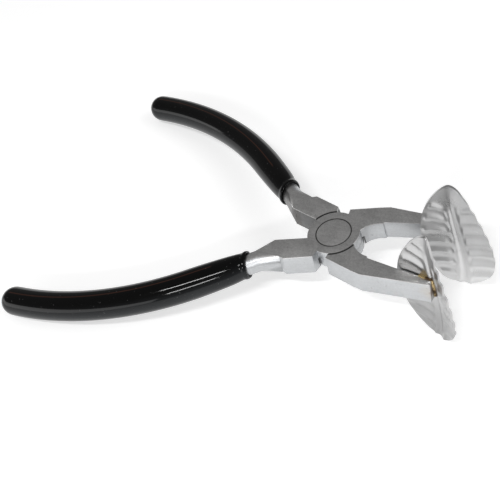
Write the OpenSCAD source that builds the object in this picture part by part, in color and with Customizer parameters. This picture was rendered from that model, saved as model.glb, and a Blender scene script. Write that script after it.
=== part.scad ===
// Leaf-pressing pliers for hot glass: lap-joint flat-jaw pliers with a pressed
// sheet-metal leaf brazed upright to the inner face of each jaw tip.
// Frame: origin on the pivot axis at the underside of the joint, +Z along the
// pivot, +X towards the jaws. Drawn with the pliers open.

/* [Joint] */
// thickness of the jaws, joint and shoulder blocks
joint_t = 8; // [7:0.1:9]
// radius of the round lap on each lever
hub_r = 9.75; // [9.4:0.05:10.2]
// radius of the flush rivet heads
rivet_head_r = 6.5; // [5.5:0.1:7]
// depth of each sunk rivet head
rivet_head_t = 2; // [1.4:0.1:2.6]
// radius of the rivet shank
rivet_shank_r = 3.6; // [3:0.1:4.2]
// radial running clearance of the rivet in the lower lever
rivet_clear = 0.05; // [0.02:0.01:0.09]
// gap between the two lap faces
lap_gap = 0.08; // [0.04:0.01:0.12]
// gap between a lap and the shoulders of the other lever
shoulder_gap = 0.3; // [0.3:0.05:0.45]

/* [Jaws] */
// distance from the pivot to the jaw tips
jaw_reach = 40.9; // [39:0.1:43]
// distance of the inner tip corner from the centre line, pliers open
tip_y = 12.5; // [12.2:0.1:12.8]
// width of the jaw tips
tip_w = 1.9; // [1.5:0.1:3]
// where the flat gripping face starts
flat_x = 16.3; // [15.8:0.1:17]
// how much wider the forging is at its underside, on each side
draft = 1; // [0.6:0.1:1.1]
// height of the small step at the back of the gripping face
flat_step = 0.55; // [0.3:0.05:0.8]
// radius of the rounded throat behind the gripping face
throat_r = 8.8; // [8.5:0.1:9]

/* [Handles] */
// diameter of the round handle bars
tang_d = 7.9; // [7.4:0.1:7.9]
// direction in which the bars leave the joint, from +X
tang_dir = 218; // [216:0.5:220]
// length of the straight part of each bar
tang_straight = 33.5; // [31:0.5:36]
// bend radius of the curved part
tang_bend_r = 129; // [122:1:140]
// angle of the curved part
tang_bend = 34.8; // [33:0.1:36]
// how far the steel bar ends short of the grip's end
tang_short = 9; // [7:0.5:20]

/* [Grips] */
// outside diameter of the dipped grips along their curved part
grip_d = 11.8; // [11:0.1:12.2]
// outside diameter where the grips start, behind their rim
mouth_d = 9.8; // [9.6:0.1:10.4]
// length of bare bar between joint and grip
grip_start = 12; // [11.5:0.1:14]
// how obliquely the grip's mouth is cut, longer on its inner side
mouth_tilt = 17; // [5:1:20]
// outside diameter of the rolled rim at the grip's mouth
rim_d = 10.6; // [10.4:0.1:11.4]
// length of that rim
rim_l = 1.6; // [1:0.1:3]
// width of the open groove between rim and bar
rim_gap = 0.5; // [0.3:0.1:0.8]

/* [Leaves] */
// how far the concave leaf reaches below the middle of the joint
concave_low = 23.7; // [23:0.1:24.5]
// how far the concave leaf reaches above it
concave_top = 23.6; // [23:0.1:24.5]
// how far the convex leaf reaches below the middle of the joint
convex_low = 25.3; // [24.5:0.1:26]
// how far the convex leaf reaches above it
convex_top = 24.2; // [23.5:0.1:25]
// sheet thickness, measured in the closing direction
leaf_t = 1; // [0.8:0.05:1.1]
// space left between the two sheets when they meet
leaf_nip = 0.35; // [0.3:0.05:0.6]
// angle each lever turns from open until the leaves meet
close_half = 14.8; // [14.6:0.05:14.9]
// fold angle of the outer half of the leaf
leaf_fold = 30; // [27:1:32]
// distance between side veins
vein_pitch = 5.4; // [4.8:0.1:6]
// height of the side veins
vein_h = 0.35; // [0.1:0.05:0.5]
// height of the double midrib
midrib_h = 0.3; // [0.1:0.05:0.35]
// depth of the scallops along the outer rim, as a share of the width
scallop = 0.035; // [0:0.005:0.05]
// how far the braze bead stands above and below the jaw
braze_proud = 0.4; // [0.3:0.1:0.8]

/* [Hidden] */

$fn = 72;
mid_z = joint_t / 2;
tang_r = tang_d / 2;
steel = [0.62, 0.62, 0.63];
sheet = [0.80, 0.81, 0.82];

// points of one lever, seen from above with its jaw at +Y
shoulder_out = [1.8, 11.7];
cheek_bend = [[7.5, 13.35], [12.3, 14.75], [16.3, 15.7]];
tip_in = [jaw_reach, tip_y];
tip_out = [jaw_reach - 0.2, tip_y + tip_w];
throat_c = [16.9, -1.1];
jaw_slope = (tip_y - 7.8 - flat_step) / (jaw_reach - flat_x);
block_out = [[-3.2, -12.1], [-13.6, -15.5], [-17.2, -14.2]];
block_end = [[-19.6, -12.5], [-21.3, -10.2]];
block_in = [[-20.4, -8.1], [-8.6, -4.6]];
tang_root = [-18.2, -11];
// directions in which the jaw's outside and the two sides of the block lean out
jaw_lean = draft * [-0.1, 0.99];
out_lean = draft * [-0.19, -0.98];
in_lean = draft * [-0.28, 0.96];
// how far along the bar the neck behind the block reaches
neck_l = 8.3;

// direction, bend centre and bend start of a handle's centre line
tang_u = [cos(tang_dir), sin(tang_dir)];
tang_n = [sin(tang_dir), -cos(tang_dir)];
bend_from = tang_root + tang_straight * tang_u;
bend_c = bend_from + tang_bend_r * tang_n;
steel_bend = tang_bend - tang_short / tang_bend_r * 180 / PI;
// step that keeps joining pieces just inside the walls they join
wall_step = 0.02;

// rows and columns of the leaf surface
rows = [0, 0.004, 0.013, each [for (i = [1:44]) i / 45], 0.987, 0.996, 1];
braze_rows = [for (i = [17:33]) i / 45];
cols = [0, 0.045, 0.09, 0.135, 0.18, 0.25, 0.34, 0.44, 0.54, 0.64, 0.74, 0.83, 0.92, 1];
across = [for (i = [len(cols) - 1:-1:1]) -cols[i], each cols];

// each leaf: reach down, reach up, then the shape of its pivot side and its outer side
concave = [concave_low, concave_top, [24.1, 1.3, 0.66, 0.25, 0.76], [21.1, 15.6, -0.56, 0.57, 0.42]];
convex = [convex_low, convex_top, [24.1, 16.6, -0.02, 0.335, 0.61], [10.4, 36.6, -1.14, 0.57, 0.4]];

// half width at share s of the height; the last two numbers round the bottom and the top
function half_width(shape, s) =
    pow(s, shape[3]) * pow(1 - s, shape[4]) * (shape[0] + shape[1] * s * (1 - s))
        * (1 + shape[2] * (s - 0.5));

// climb of a side vein at distance w from the midrib
function vein_rise(w, side) = side < 0 ? (0.62 - 0.03 * w) * w : (0.75 - 0.01 * w) * w;

// point p turned about the pivot by angle a
function turned(p, a) = [p.x * cos(a) - p.y * sin(a), p.x * sin(a) + p.y * cos(a)];

function ramp(x) = let (c = max(0, min(1, x))) c * c * (3 - 2 * c);

// height of veins and midrib at distance w from the midrib and height z
function emboss(w, z, side) =
    let (q = z - vein_rise(w, side), wave = 0.5 + 0.5 * cos(360 * (q - 5.6) / vein_pitch),
         fade = ramp((14 - q) / 3) * ramp((w - 1.5) / 3),
         off_rib = (w - 1.1 - 0.022 * (14 - z)) / 0.75)
    vein_h * wave * wave * fade + midrib_h * exp(-off_rib * off_rib) * ramp((15 - z) / 3);

// point of a leaf's surface, in the closed position; f runs -1..1 across the leaf
function leaf_point(leaf, s, f, lift) =
    let (side = f < 0 ? -1 : 1, z = (leaf[0] + leaf[1]) * s - leaf[0], m = (z + 2) / 25,
         full = half_width(leaf[side < 0 ? 2 : 3], s), edge = z - vein_rise(full, side) - 5.6,
         wavy = side > 0 ? 1 - scallop * (0.5 + 0.5 * cos(360 * edge / vein_pitch)) : 1,
         w = abs(f) * full * wavy, tilt = side < 0 ? 4.3 - 5.9 * m : leaf_fold + 2.3 * m,
         cup = side < 0 ? 0.0097 : 0.0076)
    [43.4 - (2 + 0.7 * m - 1.9 * m * m) * m + side * w * cos(tilt),
     0.04 + (1.4 - 0.71 * m) * m - side * w * sin(tilt) - cup * w * w
         - emboss(w, z, side) + lift,
     z + mid_z];

// slab between two lifts of a leaf's surface, over the given rows
module leaf_slab(leaf, lift_lo, lift_hi, rows = rows) {
    n = len(across);
    r = len(rows);
    pts = [for (lift = [lift_lo, lift_hi], s = rows, f = across) leaf_point(leaf, s, f, lift)];
    front = [for (i = [0:r - 2], j = [0:n - 2])
        let (a = i * n + j, b = a + 1, c = a + n + 1, d = a + n) each [[a, b, c], [a, c, d]]];
    back = [for (q = front) [for (k = [2:-1:0]) q[k] + r * n]];
    ring = [each [for (j = [0:n - 1]) j], each [for (i = [1:r - 1]) i * n + n - 1],
            each [for (j = [n - 2:-1:0]) (r - 1) * n + j], each [for (i = [r - 2:-1:1]) i * n]];
    rim = [for (k = [0:len(ring) - 1])
        let (a = ring[k], b = ring[(k + 1) % len(ring)]) [b, a, a + r * n, b + r * n]];
    polyhedron(points = pts, faces = concat(front, back, rim), convexity = 6);
}

// joint_t thick plate between an outline at its underside and one at its top
module forged(low, top) {
    n = len(top);
    pts = [for (p = low) [p.x, p.y, 0], for (p = top) [p.x, p.y, joint_t]];
    sides = [for (i = [0:n - 1])
        let (j = (i + 1) % n) each [[j, n + j, n + i], [j, n + i, i]]];
    polyhedron(points = pts, convexity = 2,
               faces = [[for (i = [0:n - 1]) n + i], [for (i = [n - 1:-1:0]) i], each sides]);
}

// jaw from the lap out to the tip, with an upright gripping face and a drafted outside
module jaw_plate() {
    outer = [shoulder_out, each cheek_bend, tip_out];
    difference() {
        forged([[2.24, 7.5], for (p = outer) p + jaw_lean, tip_in, [16.3, 3], [8.6, 2.2]],
               [[2.24, 7.5], each outer, tip_in, [16.3, 3], [8.6, 2.2]]);
        translate([0, 0, -1])
            linear_extrude(joint_t + 2)
                polygon([[16.1, 0], [16.1, 7.8], [flat_x, 7.8 + flat_step], tip_in,
                         tip_in + [2, 0.4], [tip_in.x + 2, 0]]);
        translate([throat_c.x, throat_c.y, -1])
            cylinder(r = throat_r, h = joint_t + 2);
    }
}

// block between the joint and the handle, and the neck that tapers to the round bar
module block_plate() {
    forged([[-2, -6], for (p = block_out) p + out_lean, each block_end,
            for (p = block_in) p + in_lean],
           [[-2, -6], each block_out, each block_end, each block_in]);
    hull() {
        forged([[-15.5, -14.9] + out_lean, block_out[2] + out_lean, each block_end,
                block_in[0] + in_lean, [-18, -7.4] + in_lean],
               [[-15.5, -14.9], block_out[2], each block_end, block_in[0], [-18, -7.4]]);
        on_bar(neck_l)
            cylinder(r = tang_r - wall_step, h = 0.1, $fn = 36);
    }
}

// children at distance a from the root of a handle bar, pointing along it
module on_bar(a) {
    translate([tang_root.x, tang_root.y, mid_z] + a * [tang_u.x, tang_u.y, 0])
        rotate([0, 90, tang_dir])
            children();
}

// children at an angle into the curved part of a handle bar
module on_bend(turn) {
    translate([bend_c.x, bend_c.y, mid_z])
        rotate([0, 0, tang_dir + 90 - turn])
            translate([tang_bend_r, 0, 0])
                children();
}

// curved part from angle a to angle b, with the drawn cross-section
module bend(a, b) {
    translate([bend_c.x, bend_c.y, mid_z])
        rotate([0, 0, tang_dir + 90 - b])
            rotate_extrude(angle = b - a, $fn = 180)
                translate([tang_bend_r, 0])
                    children();
}

// round steel bar; the ball inside it joins the straight part to the curve
module handle_bar() {
    on_bar(-1)
        cylinder(r = tang_r, h = tang_straight + 1);
    bend(0, steel_bend)
        circle(r = tang_r, $fn = 48);
    on_bend(0)
        sphere(r = tang_r - wall_step, $fn = 48);
}

// one whole forging before its lap is cut
module lever_blank() {
    cylinder(r = hub_r, h = joint_t);
    jaw_plate();
    block_plate();
    handle_bar();
}

// room that the other lever's lap needs, from height lo to height hi
module lap_room(lo, hi) {
    translate([0, 0, lo])
        cylinder(r = hub_r + shoulder_gap, h = hi - lo);
}

module lever_upper() {
    color(steel)
    difference() {
        lever_blank();
        lap_room(-1, mid_z + lap_gap / 2);
        translate([0, 0, -1])
            cylinder(r = rivet_shank_r, h = joint_t + 2);
        translate([0, 0, joint_t - rivet_head_t])
            cylinder(r = rivet_head_r, h = rivet_head_t + 1);
    }
}

module lever_lower() {
    color(steel)
    difference() {
        mirror([0, 1, 0])
            lever_blank();
        lap_room(mid_z - lap_gap / 2, joint_t + 1);
        translate([0, 0, -1])
            cylinder(r = rivet_shank_r + rivet_clear, h = joint_t + 2);
        translate([0, 0, -1])
            cylinder(r = rivet_head_r + rivet_clear, h = rivet_head_t + rivet_clear + 1);
    }
}

module pivot_rivet() {
    color([0.66, 0.66, 0.67])
    union() {
        cylinder(r = rivet_head_r, h = rivet_head_t);
        cylinder(r = rivet_shank_r, h = joint_t);
        translate([0, 0, joint_t - rivet_head_t])
            cylinder(r = rivet_head_r, h = rivet_head_t);
    }
}

// dipped sleeve over the handle bar, with an oblique open mouth and a closed round end
module grip() {
    early = 2.5;
    color([0.03, 0.03, 0.03])
    difference() {
        union() {
            on_bar(grip_start - early)
                cylinder(r1 = mouth_d / 2, r2 = grip_d / 2, h = tang_straight - grip_start + early);
            on_bar(grip_start)
                rotate([mouth_tilt, 0, 0])
                    translate([0, 0, -1])
                        cylinder(r = rim_d / 2, h = rim_l + 1);
            bend(0, tang_bend)
                circle(r = grip_d / 2, $fn = 48);
            for (turn = [0, tang_bend])
                on_bend(turn)
                    sphere(r = grip_d / 2 - wall_step, $fn = 48);
        }
        handle_bar();
        on_bar(grip_start)
            rotate([mouth_tilt, 0, 0])
                translate([-15, -15, -15])
                    cube([30, 30, 15]);
        on_bar(grip_start - early - 1)
            cylinder(r = tang_r + rim_gap, h = rim_l + early + 1.4);
    }
}

module grip_upper() {
    grip();
}

module grip_lower() {
    mirror([0, 1, 0])
        grip();
}

module leaf_concave() {
    color(sheet)
    rotate([0, 0, close_half])
        leaf_slab(concave, leaf_nip / 2, leaf_nip / 2 + leaf_t);
}

module leaf_convex() {
    color(sheet)
    rotate([0, 0, -close_half])
        leaf_slab(convex, -leaf_nip / 2 - leaf_t, -leaf_nip / 2);
}

// bead around a jaw tip, behind the leaf: a wedge between leaf and jaw, and a
// thin lip above and below the jaw; drawn in the closed position
module braze_bead(side) {
    corner = turned(tip_in, -close_half);
    face = turned([tip_in.x - 5, tip_in.y - 5 * jaw_slope], -close_half);
    nose = turned([tip_in.x - 0.09, tip_in.y + 0.9], -close_half);
    heel = [[face.x, -2], [corner.x + 0.7, -2], [corner.x + 0.55, corner.y + 0.1]];
    mirror([0, side < 0 ? 1 : 0, 0]) {
        linear_extrude(joint_t)
            polygon([each heel, nose, corner, face]);
        for (z = [-braze_proud, joint_t])
            translate([0, 0, z])
                linear_extrude(braze_proud)
                    polygon([each heel, corner + [-0.05, 0.3], face + [0, 0.2]]);
    }
}

module braze_upper() {
    color([0.72, 0.57, 0.30])
    rotate([0, 0, close_half])
        intersection() {
            leaf_slab(concave, leaf_nip / 2 + leaf_t, leaf_nip / 2 + leaf_t + 3.3, braze_rows);
            braze_bead(1);
        }
}

module braze_lower() {
    color([0.72, 0.57, 0.30])
    rotate([0, 0, -close_half])
        intersection() {
            leaf_slab(convex, -leaf_nip / 2 - leaf_t - 3.3, -leaf_nip / 2 - leaf_t, braze_rows);
            braze_bead(-1);
        }
}

lever_upper();
lever_lower();
pivot_rivet();
grip_upper();
grip_lower();
leaf_concave();
leaf_convex();
braze_upper();
braze_lower();
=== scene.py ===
"""Looks of the leaf-pressing pliers: satin forged levers with bevelled edges, a
flush rivet, glossy dipped grips, two pressed sheet leaves and their brass
brazing, on a pale studio floor. Metres, in the frame of the CAD model."""
import math

import bpy
from mathutils import Matrix, Vector


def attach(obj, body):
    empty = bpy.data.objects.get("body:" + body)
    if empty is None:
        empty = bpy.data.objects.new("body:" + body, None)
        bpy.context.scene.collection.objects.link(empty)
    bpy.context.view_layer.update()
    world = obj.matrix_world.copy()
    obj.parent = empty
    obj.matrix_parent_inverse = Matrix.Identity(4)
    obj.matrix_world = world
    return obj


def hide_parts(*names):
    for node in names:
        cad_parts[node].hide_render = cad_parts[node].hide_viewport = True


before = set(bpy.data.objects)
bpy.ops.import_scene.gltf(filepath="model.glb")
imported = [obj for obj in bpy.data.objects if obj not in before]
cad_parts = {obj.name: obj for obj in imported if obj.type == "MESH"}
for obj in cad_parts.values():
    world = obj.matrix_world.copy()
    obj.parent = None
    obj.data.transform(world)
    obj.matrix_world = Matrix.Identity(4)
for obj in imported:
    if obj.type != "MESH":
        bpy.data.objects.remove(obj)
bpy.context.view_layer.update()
MM = 0.001
CAD_WELD, LEAF_WELD = 0.002, 0.02

# sizes of the tool in millimetres, nearly all of them the CAD model's; angles are in
# radians, except LEAF_FOLD, which is in degrees
JOINT_T = 8
MID_Z = JOINT_T / 2
HUB_R, RIVET_R, FLAT_X = 9.75, 6.5, 16.3
TIP_IN = (40.9, 12.5)
TANG_ROOT, TANG_R = Vector((-18.2, -11, MID_Z)), 3.95
TANG_DIR, TANG_STRAIGHT = math.radians(218), 33.5
BEND_R, BEND, STEEL_END = 129, math.radians(34.8), math.radians(30.8)
GRIP_R, MOUTH_R, RIM_R = 5.9, 4.9, 5.3
GRIP_START, MOUTH_TILT = 12, math.radians(17)
SEAM_FROM = -38  # the grip's seam shows from here to its end, in x
BLOCK_NOTCH = (-2.6, 12.0, MID_Z + 1)
# how far each inner side runs out from the centre line for each millimetre along it
JAW_SLOPE, BLOCK_SLOPE, TANG_SLOPE = 0.264, 0.297, 0.78
REST_SPAN = 167  # from the leaf's foot to where the grips touch the floor
LEAF_T, LEAF_NIP = 1, 0.35
CLOSE_HALF, LEAF_FOLD, VEIN_PITCH = math.radians(14.8), 30, 5.4


# ---------------------------------------------------------------- camera
CAMERA_AT = (0.11572, -0.15388, 0.21029)
CAMERA_TURN = (43.555, 17.086, 27.531)
CAMERA_SHIFT = (-0.004, -0.0462)
LENS, SENSOR = 55.54, 36


def studio_camera():
    data = bpy.data.cameras.new("camera")
    data.lens, data.sensor_width = LENS, SENSOR
    data.shift_x, data.shift_y = CAMERA_SHIFT
    data.clip_start, data.clip_end = 0.01, 20
    cam = bpy.data.objects.new("camera", data)
    cam.location = CAMERA_AT
    cam.rotation_euler = [math.radians(a) for a in CAMERA_TURN]
    bpy.context.scene.collection.objects.link(cam)
    bpy.context.scene.camera = cam


studio_camera()


# ---------------------------------------------------------------- shading
class Socket:
    """A value in a material's node tree; arithmetic on it adds Math nodes."""

    def __init__(self, finish, link):
        self.finish, self.link = finish, link

    def _math(self, operation, a, b):
        return self.finish.add("ShaderNodeMath", {"operation": operation}, {0: a, 1: b})

    def __add__(self, other):
        return self._math("ADD", self, other)

    def __radd__(self, other):
        return self._math("ADD", other, self)

    def __sub__(self, other):
        return self._math("SUBTRACT", self, other)

    def __rsub__(self, other):
        return self._math("SUBTRACT", other, self)

    def __mul__(self, other):
        return self._math("MULTIPLY", self, other)

    def __rmul__(self, other):
        return self._math("MULTIPLY", other, self)


class Finish:
    """One material, built from code."""

    def __init__(self, name, **constants):
        self.material = bpy.data.materials.new(name)
        self.material.use_nodes = True
        self.tree = self.material.node_tree
        self.shader = self.tree.nodes["Principled BSDF"]
        for socket, value in constants.items():
            self.shader.inputs[socket.replace("_", " ")].default_value = value
        self.place = self.add("ShaderNodeTexCoord", {}, {}, "Object")

    def add(self, kind, settings, sockets, out=0):
        """Adds a node with its settings, and with its inputs linked or set."""
        node = self.tree.nodes.new(kind)
        for key, value in settings.items():
            if key == "stops":
                ramp = node.color_ramp
                while len(ramp.elements) < len(value):
                    ramp.elements.new(0.5)
                for element, (at, shade) in zip(ramp.elements, value):
                    element.position, element.color = at, (shade, shade, shade, 1)
            else:
                setattr(node, key, value)
        for key, value in sockets.items():
            if isinstance(value, Socket):
                self.tree.links.new(value.link, node.inputs[key])
            else:
                node.inputs[key].default_value = value
        return Socket(self, node.outputs[out])

    def feed(self, **sockets):
        """Links values to the shader's inputs and hands back the material."""
        for key, value in sockets.items():
            self.tree.links.new(value.link, self.shader.inputs[key.replace("_", " ")])
        return self.material

    def noise(self, scale, detail=2, rough=0.5, at=None):
        return self.add("ShaderNodeTexNoise", {}, {"Vector": at or self.place, "Scale": scale,
                                                   "Detail": detail, "Roughness": rough})

    def ramp(self, value, *stops):
        return self.add("ShaderNodeValToRGB", {"stops": stops}, {"Fac": value})

    def mix(self, share, a, b):
        """Colour a where share is 0 and b where it is 1; the node's colour sockets are
        its inputs 6 and 7 and its output 2."""
        return self.add("ShaderNodeMix", {"data_type": "RGBA"}, {0: share, 6: a, 7: b}, 2)

    def stretched(self, scale, turn=(0, 0, 0)):
        return self.add("ShaderNodeMapping", {}, {"Vector": self.place, "Scale": scale,
                                                  "Rotation": turn})

    def axes(self):
        """The three object coordinates, in metres."""
        parts = self.add("ShaderNodeSeparateXYZ", {}, {0: self.place})
        return [Socket(self, out) for out in parts.link.node.outputs]

    def function(self, operation, value, other=0.0):
        return self.add("ShaderNodeMath", {"operation": operation}, {0: value, 1: other})

    def below(self, value, limit, soft):
        """1 where a length in metres is under a limit in millimetres, over a soft edge."""
        return self.add("ShaderNodeMapRange", {"interpolation_type": "SMOOTHSTEP"},
                        {"Value": value, "From Min": (limit - soft) * MM,
                         "From Max": (limit + soft) * MM, "To Min": 1.0, "To Max": 0.0})

    def near(self, point, reach):
        """1 at a point in millimetres, falling to 0 at a distance."""
        away = self.add("ShaderNodeVectorMath", {"operation": "DISTANCE"},
                        {0: self.place, 1: [c * MM for c in point]}, 1)
        return self.add("ShaderNodeMapRange", {"interpolation_type": "SMOOTHSTEP"},
                        {"Value": away, "From Min": 0.0, "From Max": reach * MM,
                         "To Min": 1.0, "To Max": 0.0})

    def bump(self, height, depth, strength=1.0):
        return self.add("ShaderNodeBump", {}, {"Height": height, "Distance": depth * MM,
                                               "Strength": strength})


def grey(v, warm=0.0):
    """A grey, pulled towards red where warm is over 0 and towards blue where under."""
    return (v * (1 + warm), v, v * (1 - warm), 1)


# near black, laid in the notch by the shoulder block and round the rivet: painted shade and
# grime
SHADE_AND_GRIME = grey(0.02)
STRAW_TINT, BROWN_TINT = (0.50, 0.40, 0.27, 1), (0.20, 0.12, 0.07, 1)
SEAM_BROWN = (0.045, 0.017, 0.01, 1)
FLUX_BROWN, BRASS_YELLOW = (0.10, 0.065, 0.035, 1), (0.74, 0.56, 0.28, 1)


def satin_steel(name, dark, light, lap_side=0):
    """Ground and satin-finished forging: fine grain, soft clouds, faint file lines and
    pits, with its darker places laid over. lap_side is 1 on the lever whose lap joint
    is open below mid-height, -1 on the other, and 0 on the rivet."""
    f = Finish(name, Metallic=1.0)
    x, y, z = f.axes()
    aside = f.function("ABSOLUTE", y)
    grain = f.noise(1700, 3, 0.7)
    cloud = f.noise(150, 3)
    lines = f.noise(300, 2, 0.6, f.stretched((0.35, 4.0, 4.0), (0, 0, 0.5)))
    smoke = f.noise(330, 4, 0.6)
    tone = f.ramp(grain * 0.5 + cloud * 0.3 + lines * 0.2, (0.36, 0), (0.64, 1))
    under_top = f.below(z, JOINT_T - 0.3, 0.1)
    colour = f.mix(under_top, f.mix(tone, grey(dark, 0.01), grey(light, 0.01)),
                   f.mix(tone, grey(dark * 1.04, -0.02), grey(light * 0.82, -0.02)))

    # darker colour on the sides that face each other behind the joint, and on the tangs' inner
    # sides
    darker_facing_sides = (under_top * f.below(aside + x * BLOCK_SLOPE, 2.6, 0.35)
            * f.below(x, -9.2, 0.5))
    colour = f.mix(darker_facing_sides * (0.66 + smoke * 0.2), colour, grey(0.11, 0.03))
    inside_tang = f.below(aside + x * TANG_SLOPE, -2.4, 1.3) * f.below(x, -17.5, 0.8)
    colour = f.mix(inside_tang * under_top * 0.75, colour, grey(0.16, 0.04))
    pits = f.ramp(f.noise(620, 2, 0.5), (0.68, 0), (0.73, 1))
    colour = f.mix(pits * 0.3, colour, grey(0.14))

    # the jaws' inner faces, darker on the sunk flat than in the throat
    inner = (under_top * f.below(aside - x * JAW_SLOPE, 2.3, 0.3)
             * (1 - f.below(x, 6, 0.5)))
    colour = f.mix(inner * (0.86 - 0.66 * f.below(x, FLAT_X, 0.06)), colour, grey(0.16))

    # painted shade and grime in the notch by the shoulder block, heat tints on both sides of
    # each jaw tip
    notch = under_top * f.ramp(f.near(BLOCK_NOTCH, 4), (0.1, 0), (0.45, 1))
    colour = f.mix(notch * 0.9, colour, SHADE_AND_GRIME)
    for side in (1, -1):
        tip = (TIP_IN[0], side * (TIP_IN[1] + 0.6), MID_Z)
        straw = f.ramp(f.near(tip, 10) * 0.7 + smoke * 0.5, (0.62, 0), (0.95, 1))
        brown = f.ramp(f.near(tip, 4.6) * 0.6 + smoke * 0.6, (0.66, 0), (0.9, 1))
        colour = f.mix(straw * 0.3, colour, STRAW_TINT)
        colour = f.mix(brown * 0.7, colour, BROWN_TINT)

    # painted shade and grime round the rivet head and in the gap that the other lever's lap
    # leaves
    from_axis = f.function("SQRT", x * x + y * y)
    seam = f.below(f.function("ABSOLUTE", from_axis - RIVET_R * MM), 0.22, 0.12)
    if lap_side:
        groove = f.below(f.function("ABSOLUTE", from_axis - (HUB_R + 0.3) * MM), 0.42, 0.12)
        half = f.below(z * lap_side, MID_Z * lap_side, 0.1)
        seam = f.function("MAXIMUM", seam, groove * half)
    colour = f.mix(seam * 0.88, colour, SHADE_AND_GRIME)
    return f.feed(Base_Color=colour, Roughness=0.30 + grain * 0.12 + cloud * 0.08 + darker_facing_sides * 0.1,
                  Normal=f.bump(grain * 0.7 + lines * 0.3, 0.05, 0.6))


def sheet_steel(name, foot):
    """Bright pressed sheet, with soft wipe marks, a little haziness and fine pits; foot is
    the tone of its lower part: painted light or painted shade, as the light falls on each
    leaf."""
    f = Finish(name, Metallic=1.0)
    z = f.axes()[2]
    cloud = f.noise(120, 3)
    grain = f.noise(1900, 2)
    wipe = f.noise(260, 2, 0.5, f.stretched((1.0, 1.0, 0.12)))
    pits = f.ramp(f.noise(900, 2, 0.5), (0.70, 0), (0.76, 1))
    streak = cloud * 0.5 + wipe * 0.4 + grain * 0.1
    # the lower part takes the foot tone, painted lighter or darker for how the light falls on
    # the leaf
    colour = f.mix(f.below(z, MID_Z - 8, 9), f.mix(streak, grey(0.44), grey(0.66)),
                   f.mix(streak, grey(foot - 0.09), grey(foot + 0.09)))
    colour = f.mix(pits * 0.15, colour, grey(0.12))
    return f.feed(Base_Color=colour, Roughness=0.23 + cloud * 0.06 + grain * 0.06,
                  Normal=f.bump(grain * 0.3 + cloud * 0.7, 0.035, 0.5))


def dipped_vinyl():
    """Glossy black dipped vinyl with dust specks, rubbed patches, a painted sheen on its
    underside and a brown seam along its top, where the piece's own seam attribute is 1."""
    f = Finish("dipped_vinyl", Specular_IOR_Level=0.2)
    peel = f.noise(150, 2)
    rub = f.ramp(f.noise(70, 3), (0.48, 0), (0.8, 1))
    dust = f.ramp(f.noise(1500, 1, 0.4), (0.74, 0), (0.77, 1))
    seam = f.add("ShaderNodeAttribute", {"attribute_name": "seam"}, {}, "Fac")
    z = f.axes()[2]
    # painted reflection: the underside is painted a bluish grey sheen, as the floor would show
    # in it
    painted_underside_sheen = f.below(z, MID_Z + 2.6, 2.4) * (0.6 + rub * 0.4)
    black = f.mix(painted_underside_sheen, f.mix(peel, grey(0.0004), grey(0.001)), grey(0.028, -0.08))
    colour = f.mix(seam * 0.8, f.mix(dust * 0.3, black, grey(0.16)), SEAM_BROWN)
    return f.feed(Base_Color=colour, Roughness=0.06 + rub * 0.12 + peel * 0.03 + dust * 0.3,
                  Normal=f.bump(peel, 0.02, 0.3))


def braze_brass():
    """Brass-coloured braze with dark flux stains."""
    f = Finish("braze_brass", Metallic=1.0)
    blotch = f.ramp(f.noise(520, 4, 0.6), (0.44, 0), (0.62, 1))
    lump = f.noise(700, 2)
    colour = f.mix(blotch, FLUX_BROWN, BRASS_YELLOW)
    return f.feed(Base_Color=colour, Roughness=0.26 + (1 - blotch) * 0.3,
                  Normal=f.bump(lump, 0.12, 0.6))


STEEL_UPPER = satin_steel("satin_steel_upper", 0.46, 0.70, 1)
STEEL_LOWER = satin_steel("satin_steel_lower", 0.46, 0.70, -1)
RIVET_STEEL = satin_steel("rivet_steel", 0.49, 0.73)
# painted light on the concave leaf's foot and painted shade on the convex leaf's foot
CONCAVE_SHEET = sheet_steel("leaf_sheet_concave", 0.70)
CONVEX_SHEET = sheet_steel("leaf_sheet_convex", 0.36)
VINYL, BRASS = dipped_vinyl(), braze_brass()


# ---------------------------------------------------------------- modelling helpers
def deselect():
    bpy.ops.object.select_all(action="DESELECT")


def add_modifier(piece, kind, **settings):
    """Gives a piece a modifier and applies it at once."""
    modifier = piece.modifiers.new(kind.lower(), kind)
    for key, value in settings.items():
        setattr(modifier, key, value)
    bpy.context.view_layer.objects.active = piece
    bpy.ops.object.modifier_apply(modifier=modifier.name)


def complete(piece, name, body, node, finish, smooth=30):
    """Names a modelled piece, gives it its finish and sets it in the frame."""
    deselect()
    piece.select_set(True)
    bpy.context.view_layer.objects.active = piece
    piece.name = piece.data.name = name
    piece.data.materials.clear()
    piece.data.materials.append(finish)
    bpy.ops.object.shade_smooth_by_angle(angle=math.radians(smooth))
    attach(piece, body)
    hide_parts(node)
    return piece


def copy_of(node):
    """A copy of a CAD node, its loose triangles joined and its flats cleaned."""
    deselect()
    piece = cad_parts[node].copy()
    piece.data = piece.data.copy()
    piece.parent = None
    piece.matrix_world = Matrix.Identity(4)
    bpy.context.scene.collection.objects.link(piece)
    piece.select_set(True)
    bpy.context.view_layer.objects.active = piece
    bpy.ops.object.mode_set(mode="EDIT")
    bpy.ops.mesh.select_all(action="SELECT")
    bpy.ops.mesh.remove_doubles(threshold=CAD_WELD * MM)
    bpy.ops.mesh.dissolve_limited(angle_limit=math.radians(1.0))
    bpy.ops.object.mode_set(mode="OBJECT")
    return piece


# ---------------------------------------------------------------- levers and rivet
LEVER_EASE, RIVET_EASE, LEAF_EASE = 0.32, 0.25, 0.28


def lever(name, node, body, finish):
    """Forged lever with its sharp edges eased."""
    piece = copy_of(node)
    add_modifier(piece, "BEVEL", width=LEVER_EASE * MM, segments=2, limit_method="ANGLE",
                 angle_limit=math.radians(34), use_clamp_overlap=True,
                 miter_outer="MITER_ARC")
    add_modifier(piece, "TRIANGULATE")
    return complete(piece, name, body, node, finish)


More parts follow.
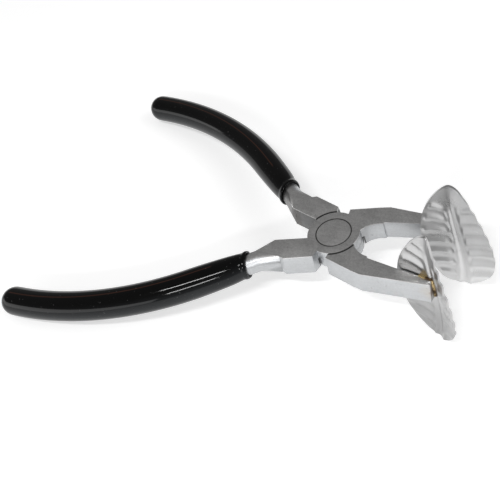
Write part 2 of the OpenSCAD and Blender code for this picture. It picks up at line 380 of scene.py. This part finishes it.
def rivet():
    """Flush rivet with a fine rounding on its rims."""
    piece = copy_of("pivot_rivet")
    add_modifier(piece, "BEVEL", width=RIVET_EASE * MM, segments=2, limit_method="ANGLE",
                 angle_limit=math.radians(40))
    return complete(piece, "flush_rivet", "upper", "pivot_rivet", RIVET_STEEL)


lever("forged_lever_upper", "lever_upper", "upper", STEEL_UPPER)
lever("forged_lever_lower", "lever_lower", "lower", STEEL_LOWER)
rivet()


# ---------------------------------------------------------------- grips
def eased(x):
    """x held between 0 and 1 and eased at both ends."""
    x = max(0.0, min(1.0, x))
    return x * x * (3 - 2 * x)


def on_bar(along):
    """Place and heading on the handle's centre line, at a distance from its root: a
    straight run, then a bend."""
    heading = TANG_DIR
    way = Vector((math.cos(heading), math.sin(heading), 0))
    if along <= TANG_STRAIGHT:
        return TANG_ROOT + along * way, heading
    turn = (along - TANG_STRAIGHT) / BEND_R
    centre = TANG_ROOT + TANG_STRAIGHT * way + BEND_R * Vector(
        (math.sin(heading), -math.cos(heading), 0))
    spoke = heading + math.pi / 2 - turn
    return centre + BEND_R * Vector((math.cos(spoke), math.sin(spoke), 0)), heading - turn


GRIP_END = TANG_STRAIGHT + BEND_R * BEND
STEEL_STOP = TANG_STRAIGHT + BEND_R * STEEL_END


def swell(along):
    """Radius of a grip: slim at the mouth and full from the start of the bend."""
    share = min(1, (along - GRIP_START) / (TANG_STRAIGHT - GRIP_START))
    return MOUTH_R + (GRIP_R - MOUTH_R) * (share * (1.6 - 0.6 * share))


def grip_rings():
    """(distance along the bar, radius) of each ring, from inside the sleeve to its tip."""
    rings = [(a, TANG_R) for a in (STEEL_STOP, 90, 70, 50, 35, GRIP_START + 3.5)]
    # the rolled lip of the mouth
    rings += [(GRIP_START + 2.8, TANG_R + 0.35), (GRIP_START + 0.7, TANG_R + 0.45)]
    for degrees in range(0, 181, 30):
        angle = math.radians(degrees)
        rings.append((GRIP_START + 0.42 * (1 - math.sin(angle)),
                      TANG_R + 0.87 - 0.36 * math.cos(angle)))
    rings += [(GRIP_START + 0.9, RIM_R), (GRIP_START + 1.4, RIM_R - 0.06),
              (GRIP_START + 1.9, MOUTH_R + 0.14), (GRIP_START + 2.6, MOUTH_R + 0.07)]
    # the outside, then the rounded end
    steps = 34
    start = GRIP_START + 4
    for i in range(steps + 1):
        along = start + (GRIP_END - start) * i / steps
        rings.append((along, swell(along)))
    for degrees in (15, 30, 45, 60, 72, 82):
        angle = math.radians(degrees)
        rings.append((GRIP_END + GRIP_R * math.sin(angle), GRIP_R * math.cos(angle)))
    return rings


def grip_place(along):
    """As on_bar, but straight on beyond the grip's end, and turned near the mouth,
    which is oblique."""
    if along <= GRIP_END:
        place, heading = on_bar(along)
        return place, heading - MOUTH_TILT * eased((GRIP_START + 9 - along) / 6)
    place, heading = on_bar(GRIP_END)
    way = Vector((math.cos(heading), math.sin(heading), 0))
    return place + (along - GRIP_END) * way, heading


def grip(name, node, body, side):
    """Dipped sleeve, extruded ring by ring over the bar and closed at its tip."""
    deselect()
    rings = grip_rings()
    place, heading = grip_place(rings[0][0])
    radius = rings[0][1]
    bpy.ops.mesh.primitive_circle_add(
        vertices=48, radius=radius * MM, fill_type="NGON", location=place * MM,
        rotation=(math.pi / 2, 0, heading - math.pi / 2))
    piece = bpy.context.object
    bpy.ops.object.transform_apply(location=True, rotation=True, scale=True)
    bpy.ops.object.mode_set(mode="EDIT")
    bpy.ops.mesh.select_all(action="SELECT")
    for along, wide in rings[1:]:
        new_place, new_heading = grip_place(along)
        bpy.ops.mesh.extrude_region_move(
            TRANSFORM_OT_translate={"value": (new_place - place) * MM})
        centre = new_place * MM
        turn = new_heading - heading
        if abs(turn) > 1e-6:
            bpy.ops.transform.rotate(value=-turn, orient_axis="Z", orient_type="GLOBAL",
                                     center_override=centre)
        bpy.ops.transform.resize(value=(wide / radius,) * 3, center_override=centre)
        place, heading, radius = new_place, new_heading, wide
    bpy.ops.mesh.select_all(action="SELECT")
    bpy.ops.mesh.normals_make_consistent(inside=False)
    bpy.ops.object.mode_set(mode="OBJECT")
    if side < 0:
        piece.scale = (1, -1, 1)
        bpy.ops.object.transform_apply(location=True, rotation=True, scale=True)
        bpy.ops.object.mode_set(mode="EDIT")
        bpy.ops.mesh.select_all(action="SELECT")
        bpy.ops.mesh.normals_make_consistent(inside=False)
        bpy.ops.object.mode_set(mode="OBJECT")
    add_modifier(piece, "SUBSURF", levels=1, render_levels=1)
    seam = piece.data.attributes.new("seam", "FLOAT", "POINT")
    for v in piece.data.vertices:
        seam.data[v.index].value = float(v.normal.z > 0.9985 and v.co.x < SEAM_FROM * MM)
    return complete(piece, name, body, node, VINYL, 60)


grip("dipped_grip_upper", "grip_upper", "upper", 1)
grip("dipped_grip_lower", "grip_lower", "lower", -1)


# ---------------------------------------------------------------- leaves
# each leaf: reach down, reach up, the shape of its pivot side and its outer side, and
# how high its side veins go
CONCAVE = (23.7, 23.6, (23.2, 1.3, 0.58, 0.25, 0.68), (22.5, 16.4, -0.56, 0.57, 0.42), 15)
CONVEX = (25.3, 24.2, (24.1, 15.4, -0.04, 0.335, 0.59), (10.4, 36.6, -1.14, 0.49, 0.4), 20)
VEIN_H, MIDRIB_H, VEIN_FAN, VEIN_START = 0.55, 0.52, 0.8, 5.6
FOLD_X, FOLD_Y, FOLD_SOFT = 43.4, 0.04, 1.8
PIVOT_CUP, OUTER_CUP, SCALLOP = 0.0097, 0.0076, 0.022
LEAF_COLUMNS, LEAF_ROWS = 64, 150


def half_width(shape, s):
    """Half width at share s of the height; the last two numbers round the two ends."""
    base, crown, skew, low_end, high_end = shape
    return (s ** low_end * (1 - s) ** high_end * (base + crown * s * (1 - s))
            * (1 + skew * (s - 0.5)))


def vein_rise(w, z, side):
    """How far a side vein has climbed at w from the midrib; the inner ones fan out."""
    if side > 0:
        return (0.75 - 0.01 * w) * w
    return (0.62 - 0.03 * w) * w * (1 + VEIN_FAN * max(0, z + 2) / 22)


def emboss(w, z, side, veins_to, rim):
    """Height of the side veins, which fade out near the top, and of the double midrib,
    whose two ridges spread apart downwards and fade out near the top too."""
    climb = z - vein_rise(w, z, side)
    wave = 0.5 + 0.5 * math.cos(math.tau * (climb - VEIN_START) / VEIN_PITCH)
    fade = eased((veins_to - climb) / 5) * eased((w - 0.5) / 5)
    if side < 0:
        fade *= eased((rim - w) / 1.8)
    off_rib = (w - 1.2 - 0.022 * (14 - z)) / 1.05
    return (VEIN_H * wave ** 1.5 * fade
            + MIDRIB_H * math.exp(-off_rib ** 2) * eased((17 - z) / 7))


def leaf_point(outline, s, f, lift):
    """Point of a leaf at share s of its height and share f of its half width, before
    the leaf is turned to its lever. m is 0 a little under mid-height and 1 near the
    top; t counts across the fold line and past is how far it is beyond it."""
    side = -1 if f < 0 else 1
    low, high, pivot_side, outer_side, veins_to = outline
    z = (low + high) * s - low
    m = (z + 2) / 25
    full = half_width(pivot_side if side < 0 else outer_side, s)
    edge = z - vein_rise(full, z, side) - VEIN_START
    wavy = 1 - SCALLOP * (0.5 + 0.5 * math.cos(math.tau * edge / VEIN_PITCH)) * (side > 0)
    w = abs(f) * full * wavy
    inner, outer = math.radians(4.3 - 5.9 * m), math.radians(LEAF_FOLD + 2.3 * m)
    t = side * w
    past = (t + math.sqrt(t * t + FOLD_SOFT ** 2)) / 2
    out = t * math.cos(inner) + past * (math.cos(outer) - math.cos(inner))
    back = t * math.sin(inner) + past * (math.sin(outer) - math.sin(inner))
    cup = PIVOT_CUP if side < 0 else OUTER_CUP
    return Vector((FOLD_X - (2 + 0.7 * m - 1.9 * m * m) * m + out,
                   FOLD_Y + (1.4 - 0.71 * m) * m - back - cup * w * w
                   - emboss(w, z, side, veins_to, full) + lift,
                   z + MID_Z))


def leaf(name, node, body, outline, lift, turn, finish):
    """Pressed sheet leaf: a grid formed over the leaf's surface, then given its gauge."""
    deselect()
    bpy.ops.mesh.primitive_grid_add(x_subdivisions=LEAF_COLUMNS,
                                    y_subdivisions=LEAF_ROWS, size=2)
    piece = bpy.context.object
    # the rows lie closer together towards both ends
    for v in piece.data.vertices:
        s = 0.5 - 0.5 * math.cos(math.pi * (0.006 + 0.988 * (v.co.y + 1) / 2))
        v.co = leaf_point(outline, s, v.co.x, lift) * MM
    bpy.ops.object.mode_set(mode="EDIT")
    bpy.ops.mesh.select_all(action="SELECT")
    bpy.ops.mesh.extrude_region_move(
        TRANSFORM_OT_translate={"value": (0, LEAF_T * MM, 0)})
    bpy.ops.mesh.select_all(action="SELECT")
    bpy.ops.mesh.remove_doubles(threshold=LEAF_WELD * MM)
    bpy.ops.mesh.normals_make_consistent(inside=False)
    bpy.ops.object.mode_set(mode="OBJECT")
    piece.rotation_euler.z = turn
    bpy.ops.object.transform_apply(location=True, rotation=True, scale=True)
    add_modifier(piece, "BEVEL", width=LEAF_EASE * MM, segments=2, limit_method="ANGLE",
                 angle_limit=math.radians(50))
    return complete(piece, name, body, node, finish, 50)


leaf("pressed_leaf_concave", "leaf_concave", "upper", CONCAVE, LEAF_NIP / 2,
     CLOSE_HALF, CONCAVE_SHEET)
leaf("pressed_leaf_convex", "leaf_convex", "lower", CONVEX, -LEAF_NIP / 2 - LEAF_T,
     -CLOSE_HALF, CONVEX_SHEET)


# ---------------------------------------------------------------- braze
BRAZE_VOXEL = 0.13


def braze(name, node, body):
    """Run of braze, softened as if it had flowed."""
    piece = copy_of(node)
    add_modifier(piece, "REMESH", mode="VOXEL", voxel_size=BRAZE_VOXEL * MM)
    add_modifier(piece, "SMOOTH", factor=0.5, iterations=5)
    return complete(piece, name, body, node, BRASS, 60)


braze("braze_run_upper", "braze_upper", "upper")
braze("braze_run_lower", "braze_lower", "lower")


# ---------------------------------------------------------------- studio
def softbox(name, azimuth, elevation, away, size, radiance):
    """A rectangular lamp facing the joint; radiance is what a mirror of it would show."""
    level = math.cos(math.radians(elevation))
    way = Vector((level * math.cos(math.radians(azimuth)),
                  level * math.sin(math.radians(azimuth)),
                  math.sin(math.radians(elevation))))
    lamp = bpy.data.lights.new(name, "AREA")
    lamp.shape, lamp.size, lamp.size_y = "RECTANGLE", *size
    lamp.energy = radiance * math.pi * size[0] * size[1]
    holder = bpy.data.objects.new(name, lamp)
    holder.location = way * away
    holder.rotation_euler = way.to_track_quat("Z", "Y").to_euler()
    bpy.context.scene.collection.objects.link(holder)


FLOOR_GLOW, SKY_GLOW = 0.42, 0.27
FLOOR_GAP = 0.05  # the convex leaf's foot hovers this far over the floor


def studio():
    """A pale floor that the tool rests on, white surroundings and four lamps."""
    deselect()
    drop = math.atan2(CONVEX[0] - GRIP_R, REST_SPAN)
    bpy.ops.mesh.primitive_plane_add(size=40)
    floor = bpy.context.object
    floor.name = "floor"
    floor.data.transform(Matrix.Translation((0.042, 0, (MID_Z - CONVEX[0] - FLOOR_GAP) * MM))
                         @ Matrix.Rotation(drop, 4, "Y"))
    f = Finish("floor", Roughness=0.8, Specular_IOR_Level=0.15, Emission_Strength=FLOOR_GLOW,
               Emission_Color=(1, 1, 1, 1))
    floor.data.materials.append(f.feed(Base_Color=f.mix(f.noise(3), grey(0.86), grey(0.88))))

    world = bpy.data.worlds.new("studio")
    world.use_nodes = True
    sky = world.node_tree.nodes["Background"]
    sky.inputs["Color"].default_value = (1, 1, 1, 1)
    sky.inputs["Strength"].default_value = SKY_GLOW
    bpy.context.scene.world = world
    softbox("right softbox", 12, 36, 1.2, (0.9, 0.6), 2.2)
    softbox("front sweep", -122, 12, 1.2, (2.2, 0.4), 2.4)
    softbox("upper strip", -79, 62, 1.0, (0.36, 0.04), 60)
    softbox("lower strip", -69, 32, 1.0, (0.28, 0.06), 36)
    bpy.context.scene.view_settings.view_transform = "Standard"


studio()
